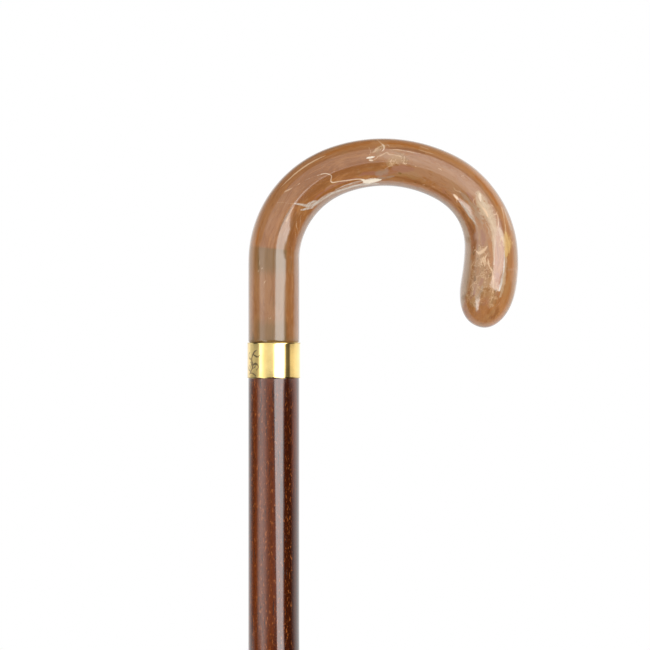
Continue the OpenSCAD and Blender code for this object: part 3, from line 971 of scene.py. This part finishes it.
class CollarLook(bpy.types.PropertyGroup):
    """The brass's colours."""

    brass: colour_property("Brass", "The polished metal", (0.93, 0.7, 0.25))
    # Also the colour of the painted dark reflection on the collar's right
    brass_deep: colour_property("Deep brass", "Slightly tarnished patches", (0.88, 0.55, 0.14))
    engraving: colour_property("Engraving", "The floor of the engraved scroll", (0.26, 0.15, 0.04))
    polish: share_property("Polish", "Roughness of the brass", 0.03)


class ShaftLook(bpy.types.PropertyGroup):
    """The stained wood's colours."""

    stain: colour_property("Stain", "The wood between its grain lines", (0.115, 0.019, 0.0015))
    # Also the colour of the painted shade down the right of the shaft's front
    stain_dark: colour_property("Dark grain", "The darkest grain lines", (0.032, 0.005, 0.0008))
    # Also the colour of the painted light down the left of the shaft's front
    stain_warm: colour_property("Warm grain", "Reddish streaks", (0.18, 0.037, 0.004))
    fleck: colour_property("Fleck", "Small orange flecks", (0.4, 0.118, 0.025))
    pore: colour_property("Pore", "Open pores", (0.012, 0.004, 0.002))
    lacquer: share_property("Lacquer", "Roughness under the lacquer", 0.07)


class FittingLook(bpy.types.PropertyGroup):
    """The colours of the rubber, the steel and the glue."""

    rubber: colour_property("Rubber", "Black moulded rubber", (0.018, 0.018, 0.019))
    bloom: colour_property("Bloom", "Dust and bloom on the rubber", (0.07, 0.068, 0.064))
    steel: colour_property("Steel", "Zinc-plated steel", (0.62, 0.63, 0.65))
    steel_dull: colour_property("Dull steel", "Dull patches of the plating", (0.42, 0.43, 0.45))
    epoxy: colour_property("Epoxy", "Cured glue", (0.4, 0.33, 0.13))
    epoxy_dark: colour_property("Thick epoxy", "Cured glue where it is thick", (0.26, 0.19, 0.06))
    epoxy_pale: colour_property("Bubbles", "Bubbles in the glue", (0.6, 0.55, 0.36))


class StudioLook(bpy.types.PropertyGroup):
    """The studio's lamps, reflections and camera."""

    key: brightness_property("Key", "Brightness of the lamp on the right", 3.3)
    fill: brightness_property("Fill", "Brightness of the lamp on the left", 1.3)
    room: brightness_property("Room", "Light from the white room on matt surfaces", 0.46)
    sides: brightness_property("Sides", "Added light from the room's sides", 1.2)
    key_gloss: brightness_property("Key in gloss", "How bright the key looks in gloss", 4.4)
    spot: brightness_property("Spot in gloss", "How bright the small lamp looks in gloss", 4)
    fill_gloss: brightness_property("Fill in gloss", "How bright the fill looks in gloss", 1.6)
    wall: brightness_property("Wall", "Brightness of the white wall in gloss", 0.75)
    flag: brightness_property("Flags", "Brightness of the dark flags in gloss", 0.03)
    lens: FloatProperty(
        name="Lens",
        description="Focal length of the camera",
        subtype="DISTANCE_CAMERA",
        min=50,
        max=400,
        default=200,
    )


def handle_rings():
    """The handle's rings in mm: those in its bore and neck, and those of its skin bent and unbent."""
    turn = np.arange(BAR_SIDES) * 2 * math.pi / BAR_SIDES
    bore = [(BORE_R, BORE_TOP), (BORE_R, JOINT_Z), (NECK_R, JOINT_Z), (NECK_R, COLLAR_TOP)]
    foot = np.linspace(0, math.pi / 2, FOOT_RINGS, endpoint=False)
    nose = np.linspace(0, math.pi / 2, NOSE_RINGS, endpoint=False)
    nose_from = BAR_L - NOSE_L
    steps = round((nose_from - FOOT_ROUND) / BAR_STEP)
    foot_s = FOOT_ROUND * (1 - np.cos(foot))
    bar_s = np.linspace(FOOT_ROUND, nose_from, steps, endpoint=False)
    nose_s = nose_from + NOSE_L * np.sin(nose)
    s = np.concatenate([foot_s, bar_s, nose_s])
    radius = skin_radius(s)
    radius[:FOOT_RINGS] = STEM_R - FOOT_ROUND * (1 - np.sin(foot))
    skin = np.array([on_bar(d, turn, r) for d, r in zip(s, radius)])
    return turned_rings(bore, BAR_SIDES), skin, turned_rings(zip(radius, s), BAR_SIDES)


class CANE_OT_dress_handle(bpy.types.Operator):
    """Builds the smooth crook with its marks, and gives it the marbled acrylic"""

    bl_idname = "cane.dress_handle"
    bl_label = "Crook handle"

    def execute(self, context):
        bore, skin, straight = handle_rings()
        end = on_bar(BAR_L, 0.0, 0.0)[0]
        handle = lofted("acrylic_crook", np.concatenate([bore, skin]), (0, 0, BORE_TOP), end)
        points = points_of(handle)
        # The skin's points as if the bar were straight, which the marbling follows, and then the two poles
        unbent = points - (0, 0, COLLAR_TOP)
        first = len(bore) * BAR_SIDES
        unbent[first : first + len(skin) * BAR_SIDES] = straight.reshape(-1, 3)
        unbent[-1] = (0, 0, BAR_L)
        keep_field(handle.data, "unbent", unbent, "FLOAT_VECTOR")
        for name, paths in MARKS.items():
            keep_field(handle.data, name, mark_field(points, paths))
        handle.data.materials.append(acrylic(context.scene.cane_handle))
        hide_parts("crook_handle")
        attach(handle, "cane")
        return {"FINISHED"}


# A generic leaf scroll, engraved on the collar's left side. Each stroke is a path of (place round the collar,
# height, half-width), which SCROLL_SCALE turns into mm, and SCROLL_PLACE moves from the collar's left edge
# and its middle height.
SCROLL_SCALE = (1.6, 1.6, 1.35)
SCROLL_PLACE = (8.8, -1, 0)
SCROLL_STEPS = 6
SCROLL_FAR = 8.0
SCROLL = [
    [(-2.6, -3.6, 0.1), (-1.4, -2.6, 0.3), (-0.4, -1, 0.34), (-0.9, 0.8, 0.3), (-0.1, 2.6, 0.26),
     (1.2, 3.6, 0.1)],
    [(-0.6, -0.9, 0.26), (0.8, -0.3, 0.3), (1.7, -1.2, 0.24), (1, -2.1, 0.14)],
    [(-0.8, 0.9, 0.26), (-2.1, 1.1, 0.26), (-2.6, 2.2, 0.2), (-1.8, 2.9, 0.12)],
    [(0, 2.2, 0.2), (1.4, 1.6, 0.24), (2.3, 2.2, 0.12)],
    [(-1.3, -2.6, 0.2), (-2.7, -1.9, 0.24), (-3.3, -0.9, 0.1)],
    [(-2.2, -3.2, 0.1), (-0.8, -3, 0.26), (0.4, -3.4, 0.2), (1.2, -4.2, 0.08)],
    [(-1.6, -1.3, 0.08), (-0.9, -0.4, 0.22), (-1.7, 0.2, 0.1)],
    [(-0.3, -1.7, 0.08), (0.5, -1.2, 0.18), (1, -0.6, 0.08)],
    [(-2.4, -0.6, 0.08), (-1.8, -1.3, 0.2), (-1.9, -2, 0.08)],
]


class CANE_OT_dress_collar(bpy.types.Operator):
    """Turns the collar with rounded edges, and gives it polished brass and a small engraved scroll"""

    bl_idname = "cane.dress_collar"
    bl_label = "Collar"

    def execute(self, context):
        low, top = COLLAR_LOW + COLLAR_FOOT_EDGE, COLLAR_TOP - COLLAR_EDGE
        side = [(COLLAR_R, z) for z in np.linspace(low, top, COLLAR_RINGS)[1:-1]]
        profile = [
            (NECK_R, COLLAR_LOW),
            *quarter_round(COLLAR_R - COLLAR_FOOT_EDGE, low, COLLAR_FOOT_EDGE, -90, 0),
            *side,
            *quarter_round(COLLAR_R - COLLAR_EDGE, top, COLLAR_EDGE, 0, 90),
            (NECK_R, COLLAR_TOP),
        ]
        collar = lofted("brass_collar", turned_rings(profile, COLLAR_SIDES), loop=True)
        points = points_of(collar)
        around = np.arctan2(-points[:, 1], -points[:, 0]) * COLLAR_R
        flat = np.stack([around, points[:, 2] - (COLLAR_LOW + COLLAR_TOP) / 2], 1)
        field = np.full(len(points), SCROLL_FAR)
        for stroke in SCROLL:
            path = smooth_path(np.array(stroke) * SCROLL_SCALE + SCROLL_PLACE, SCROLL_STEPS)
            for a, b in zip(path, path[1:]):
                field = np.minimum(field, off_stroke(flat, a[:2], b[:2], a[2], b[2]))
        keep_field(collar.data, "scroll", field)
        collar.data.materials.append(brass(context.scene.cane_collar))
        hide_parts("collar")
        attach(collar, "cane")
        return {"FINISHED"}


class CANE_OT_dress_shaft(bpy.types.Operator):
    """Turns the shaft smooth, and gives it stained and lacquered wood"""

    bl_idname = "cane.dress_shaft"
    bl_label = "Shaft"

    def execute(self, context):
        straight_low = COLLAR_LOW - SHAFT_STRAIGHT_L
        taper = [
            (SHAFT_LOW_R + (SHAFT_R - SHAFT_LOW_R) * t, TAPER_LOW + (straight_low - TAPER_LOW) * t)
            for t in np.linspace(0, 1, TAPER_RINGS)
        ]
        shoulder_z = COLLAR_LOW - SHOULDER_EDGE
        straight_z = np.linspace(straight_low, shoulder_z, STRAIGHT_RINGS)[1:-1]
        straight = [(SHAFT_R, z) for z in (*straight_z, shoulder_z - SHOULDER_RING, shoulder_z)]
        shoulder = quarter_round(SHAFT_R - SHOULDER_EDGE, shoulder_z, SHOULDER_EDGE, 0, 90)
        profile = [
            (SHAFT_LOW_R - SHAFT_END_EDGE, SHAFT_LOW),
            (SHAFT_LOW_R, SHAFT_LOW + SHAFT_END_EDGE),
            *taper,
            *straight,
            *shoulder[1:],
            (NECK_R, COLLAR_LOW),
            (NECK_R, JOINT_Z),
            (BORE_R, JOINT_Z),
            (BORE_R, BORE_LOW),
        ]
        rings = turned_rings(profile, SHAFT_SIDES)
        shaft = lofted("wood_shaft", rings, (0, 0, SHAFT_LOW), (0, 0, BORE_LOW))
        shaft.data.materials.append(stained_wood(context.scene.cane_shaft))
        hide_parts("shaft")
        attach(shaft, "cane")
        return {"FINISHED"}


def dress(names, material):
    """Gives CAD nodes a material in place of their own."""
    for name in names:
        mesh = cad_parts[name].data
        mesh.materials.clear()
        mesh.materials.append(material)


class CANE_OT_dress_joint(bpy.types.Operator):
    """Gives the hidden stud and the tip's washer their steel, and the glue round the stud its epoxy"""

    bl_idname = "cane.dress_joint"
    bl_label = "Stud and glue"

    def execute(self, context):
        fittings = context.scene.cane_fittings
        dress(["joint_stud", "tip_washer"], zinc_steel(fittings))
        dress(["handle_glue", "shaft_glue"], cured_epoxy(fittings))
        return {"FINISHED"}


class CANE_OT_dress_tip(bpy.types.Operator):
    """Gives the tip its moulded rubber"""

    bl_idname = "cane.dress_tip"
    bl_label = "Rubber tip"

    def execute(self, context):
        dress(["rubber_tip"], rubber(context.scene.cane_fittings))
        return {"FINISHED"}


# The lamps that light the cane, in metres. Azimuth runs from the camera towards the right, in degrees.
SOFTBOXES = {
    "key_softbox": {"azimuth": 31, "width": 0.84, "low": 0.53, "high": 1.06, "distance": 1.0},
    "fill_softbox": {"azimuth": -56, "width": 0.6, "low": 0.4, "high": 1.1, "distance": 1.1},
}
# Watts for each square metre of a lamp, at brightness 1
WATTS = 4
WHITE = (1, 1, 1, 1)
# The pale floor, in metres, and how much of it the camera sees as plain white
FLOOR_R = 7
FLOOR_SIDES = 96
FLOOR_COLOUR = (0.86, 0.86, 0.85, 1)
FLOOR_WHITE = 0.45
# Where the room's sides start and are full, by how far a direction points at the camera (1 is straight)
ROOM_SIDES = ((0.3, 0.1), (-0.7, -0.55))
# The tent round the cane, in metres
TENT_R = 9
TENT_RINGS = 48
TENT_SIDES = 96


def add_softbox(name, azimuth, width, low, high, distance, brightness):
    """An upright lamp that lights the cane. Its reflection is the softbox at the same side of the tent."""
    lamp = bpy.data.lights.new(name, "AREA")
    lamp.shape = "RECTANGLE"
    lamp.size = width
    lamp.size_y = high - low
    lamp.energy = brightness * WATTS * width * (high - low)
    softbox = bpy.data.objects.new(name, lamp)
    a = math.radians(azimuth)
    out = Vector((math.sin(a), -math.cos(a), 0))
    softbox.location = out * distance + Vector((0, 0, (low + high) / 2))
    softbox.rotation_mode = "QUATERNION"
    softbox.rotation_quaternion = out.to_track_quat("Z", "Y")
    softbox.visible_camera = False
    softbox.visible_glossy = False
    bpy.context.scene.collection.objects.link(softbox)


def tent_mesh():
    """A ball of faces that are seen from inside."""
    up = np.linspace(-math.pi / 2, math.pi / 2, TENT_RINGS + 2)[1:-1]
    turns = np.arange(TENT_SIDES) * 2 * math.pi / TENT_SIDES
    points = [(0, 0, -TENT_R)]
    points += [
        (TENT_R * math.cos(e) * math.cos(a), TENT_R * math.cos(e) * math.sin(a), TENT_R * math.sin(e))
        for e in up
        for a in turns
    ]
    points.append((0, 0, TENT_R))
    last = len(points) - 1
    faces = []
    for j in range(TENT_SIDES):
        k = (j + 1) % TENT_SIDES
        faces.append((0, 1 + j, 1 + k))
        faces.append((last, last - TENT_SIDES + k, last - TENT_SIDES + j))
        for i in range(TENT_RINGS - 1):
            low, high = 1 + i * TENT_SIDES, 1 + (i + 1) * TENT_SIDES
            faces.append((low + j, high + j, high + k, low + k))
    mesh = bpy.data.meshes.new("tent")
    mesh.from_pydata(points, [], faces)
    return mesh


# The two belts of the tent that the shaft and the collar show, by the upper and the lower edge of each, in
# degrees up from the middle of the photograph's frame
SHAFT_BELT = ((-0.99, -1.03), (-6.4, -5.4))
COLLAR_BELT = ((-0.3, -0.34), (-1.03, -0.99))
# How bright each belt is all the way round, as (azimuth in degrees, brightness). The key softbox is added to
# the shaft's.
SHAFT_ROUND = [
    (-180, 0.9), (-145, 0.75), (-133, 0.6), (-123, 0.4), (-114, 0.2), (-106, 0.06), (-86, 0.04), (-80, 0.3),
    (-74, 0.87), (-68, 1.35), (-62, 1.63), (-53, 1.6), (-46, 1.4), (-38, 1.05), (-33, 0.7), (-29, 0.5),
    (-20, 0.27), (-11, 0.14), (-4, 0.2), (4, 0.3), (45, 0.3), (52, 0.02), (81, 0.02), (87, 0.1), (93, 0.28),
    (107, 0.7), (124, 0.92), (145, 0.97),
]
COLLAR_ROUND = [
    (-180, 1), (-130, 1.05), (-116, 0.68), (-84, 0.53), (-73, 0.52), (-68, 0.75), (-63, 2), (-58, 2.8),
    (-51, 1.9), (-44, 1.2), (-34, 1.08), (-25, 1), (-12, 1), (-6, 1.12), (-1, 1.4), (4, 4), (46, 4),
    (51, 0.9), (56, 0.26), (62, 0.17), (69, 0.17), (73, 0.37), (78, 1.08), (88, 1.12), (102, 1.17),
    (145, 1.2),
]
BRIGHTEST = 4
TO_DEGREES = 180 / math.pi


def tent_glow(studio):
    """The tent's material: a white wall, softboxes and dark flags, as the gloss of the cane shows them."""
    look = new_look("tent_glow")
    place = look.place()
    way = look.parts(look.add("VectorMath", {"operation": "NORMALIZE"}, {0: place})["Vector"])
    x, y, z = way["X"], way["Y"], way["Z"]
    azimuth = look.maths("ARCTAN2", x, 0 - y) * TO_DEGREES
    elevation = look.maths("ARCSINE", z) * TO_DEGREES
    off_camera = look.maths("ARCCOSINE", 0 - y) * TO_DEGREES

    # The backdrop behind the cane: white at the sides, dark overhead, grey below
    shade = look.ease(z - x * 0.3, 0.32, 0.85)
    below = look.ease(z, 0.05, -0.25)
    behind = look.ease(off_camera - below * x * 9, 88, 117) * (0.9 - shade * 0.8 - below * 0.2)
    # The white wall in front, above the horizon: brighter high up and above the key softbox, with a darker
    # gap near its middle, and fading to the sides
    in_front = look.ease(off_camera, 69, 64) + look.ease(off_camera, 104, 70) * 0.25
    wall = look.ease(azimuth, 12, 8) * look.ease(elevation, -0.4, -0.34)
    wall = wall * (1 + look.ease(azimuth, -8, 8) * look.ease(elevation, 8, 24) * 0.8)
    gap = look.between(azimuth, (0.9, 0.2), (-6, -2)) * look.ease(elevation, 1.2, 1.7)
    wall = wall * (1 - gap * look.ease(elevation, 8, 4) * 0.75)
    wall = (wall + look.ease(azimuth, 8, 14) * look.ease(elevation, 5, 12) * 1.8) * in_front
    # The fill softbox on the left, fading towards the camera
    fill = look.ease(azimuth + elevation * 1.1, -72, -60) * look.ease(azimuth, -22, -50)
    fill = fill * look.ease(elevation, -42, -30) * look.ease(elevation, 14, 6)
    at_shaft, at_collar = (look.between(elevation, *belt) for belt in (SHAFT_BELT, COLLAR_BELT))
    # The key softbox on the right. Its left edge stands further left low down, its right edge further right
    # high up, and both move left in the shaft's belt. Its top rises to the right and its foot falls.
    left = azimuth + look.ease(elevation, 1.45, 1.0) * 3 + at_shaft * 4
    right = azimuth + at_shaft * 5 - look.ease(elevation, 0.3, 1.2) * 8
    key = look.ease(left, 8, 11) * look.ease(right, 53, 43)
    key = key * look.ease(elevation + azimuth * 0.16, -6.6, -5.4)
    key = key * look.ease(elevation - azimuth * 0.28, 7.5, 4.5)
    key = key * look.ease(elevation + azimuth * 0.36, -1.0, 0.2)
    # A small bright lamp below the fill
    spot = look.ease(azimuth, -56, -47) * look.ease(azimuth - elevation * 0.45, -19, -25)
    spot = spot * look.ease(elevation, -44, -37) * look.ease(elevation, -12, -19)

    glow = (wall * studio.wall).most(fill * studio.fill_gloss).most(behind).most(spot * studio.spot)
    glow = glow.most(studio.flag)
    glow = glow + at_shaft * (look.round_about(azimuth, SHAFT_ROUND) - glow)
    glow = glow + key * (studio.key_gloss * (1 - at_shaft * 0.12) - glow)
    glow = glow + at_collar * (look.round_about(azimuth, COLLAR_ROUND) - glow)
    grey = look.add("CombineXYZ", None, {"X": glow, "Y": glow, "Z": glow})["Vector"]
    dark = {"Base Color": (0, 0, 0, 1), "Roughness": 1.0, "Specular IOR Level": 0.0}
    material = look.finish_surface({**dark, "Emission Color": grey, "Emission Strength": 1.0})
    material.cycles.emission_sampling = "NONE"
    return material


class CANE_OT_set_studio(bpy.types.Operator):
    """Sets up the pale floor, the white room, the lamps, the tent that the gloss shows, and the camera"""

    bl_idname = "cane.set_studio"
    bl_label = "Studio"

    def execute(self, context):
        studio = context.scene.cane_studio
        self.add_floor()
        self.add_tent(studio)
        self.add_room(context.scene, studio)
        for name, softbox in SOFTBOXES.items():
            add_softbox(name, **softbox, brightness=studio.key if name == "key_softbox" else studio.fill)
        self.add_camera(context.scene, studio)
        return {"FINISHED"}

    @staticmethod
    def add_floor():
        turns = np.arange(FLOOR_SIDES) * 2 * math.pi / FLOOR_SIDES
        corners = [(FLOOR_R * math.cos(a), FLOOR_R * math.sin(a), 0) for a in turns]
        mesh = bpy.data.meshes.new("floor")
        mesh.from_pydata(corners, [], [list(range(FLOOR_SIDES))])
        look = new_look("pale_floor")
        matt = look.add("BsdfDiffuse", None, {"Color": FLOOR_COLOUR})["BSDF"]
        white = look.add("Emission", None, {"Color": WHITE, "Strength": 1.0})["Emission"]
        share = look.add("LightPath")["Is Camera Ray"] * FLOOR_WHITE
        look.finish(look.add("MixShader", None, {0: share, 1: matt, 2: white})["Shader"])
        mesh.materials.append(look.owner)
        floor = bpy.data.objects.new("floor", mesh)
        bpy.context.scene.collection.objects.link(floor)
        floor.visible_glossy = False

    @staticmethod
    def add_tent(studio):
        mesh = tent_mesh()
        mesh.materials.append(tent_glow(studio))
        tent = bpy.data.objects.new("tent", mesh)
        bpy.context.scene.collection.objects.link(tent)
        tent.location.z = VIEW_Z * MM
        tent.visible_camera = False
        tent.visible_diffuse = False
        tent.visible_transmission = False
        tent.visible_shadow = False

    @staticmethod
    def add_room(scene, studio):
        scene.world = bpy.data.worlds.new("white_room")
        look = Look(scene.world)
        to_camera = 0 - look.parts(look.add("TexCoord")["Generated"])["Y"]
        around = look.between(to_camera, *ROOM_SIDES)
        ray = look.add("LightPath")
        seen = ray["Is Camera Ray"].most(ray["Is Glossy Ray"]).most(ray["Is Transmission Ray"])
        low, high, white = (
            look.add("Background", None, {"Color": WHITE, "Strength": strength})["Background"]
            for strength in (studio.room, studio.room + studio.sides, 1.0)
        )
        dim = look.add("MixShader", None, {0: around, 1: low, 2: high})["Shader"]
        look.finish(look.add("MixShader", None, {0: seen, 1: dim, 2: white})["Shader"], "OutputWorld")
        scene.view_settings.view_transform = "Standard"

    @staticmethod
    def add_camera(scene, studio):
        lens = bpy.data.cameras.new("camera")
        lens.lens = studio.lens
        camera = bpy.data.objects.new("camera", lens)
        distance = VIEW_W * MM * studio.lens / lens.sensor_width
        camera.location = (VIEW_X * MM, -distance, VIEW_Z * MM)
        camera.rotation_euler = (math.pi / 2, 0, 0)
        scene.collection.objects.link(camera)
        scene.camera = camera


class CANE_PT_pieces(bpy.types.Panel):
    """Lists the cane's pieces and their settings"""

    bl_label = "Cane"
    bl_idname = "CANE_PT_pieces"
    bl_space_type = "VIEW_3D"
    bl_region_type = "UI"
    bl_category = "Cane"

    def draw(self, context):
        for settings, _, operators in SECTIONS:
            box = self.layout.box()
            for operator in operators:
                box.operator(operator.bl_idname)
            group = getattr(context.scene, settings)
            for name in group.__annotations__:
                box.prop(group, name)


SECTIONS = [
    ("cane_handle", HandleLook, [CANE_OT_dress_handle]),
    ("cane_collar", CollarLook, [CANE_OT_dress_collar]),
    ("cane_shaft", ShaftLook, [CANE_OT_dress_shaft]),
    ("cane_fittings", FittingLook, [CANE_OT_dress_joint, CANE_OT_dress_tip]),
    ("cane_studio", StudioLook, [CANE_OT_set_studio]),
]
CLASSES = [
    *(group for _, group, _ in SECTIONS),
    *(operator for _, _, operators in SECTIONS for operator in operators),
    CANE_PT_pieces,
]


def register():
    """Makes the classes and the scene's settings known."""
    for item in CLASSES:
        bpy.utils.register_class(item)
    for name, group, _ in SECTIONS:
        setattr(bpy.types.Scene, name, PointerProperty(type=group))


def unregister():
    """Takes the settings and the classes away again."""
    for name, _, _ in SECTIONS:
        delattr(bpy.types.Scene, name)
    for item in reversed(CLASSES):
        bpy.utils.unregister_class(item)


def main():
    """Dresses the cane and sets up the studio."""
    register()
    bpy.ops.cane.dress_handle()
    bpy.ops.cane.dress_collar()
    bpy.ops.cane.dress_shaft()
    bpy.ops.cane.dress_joint()
    bpy.ops.cane.dress_tip()
    bpy.ops.cane.set_studio()


if __name__ == "__main__":
    main()
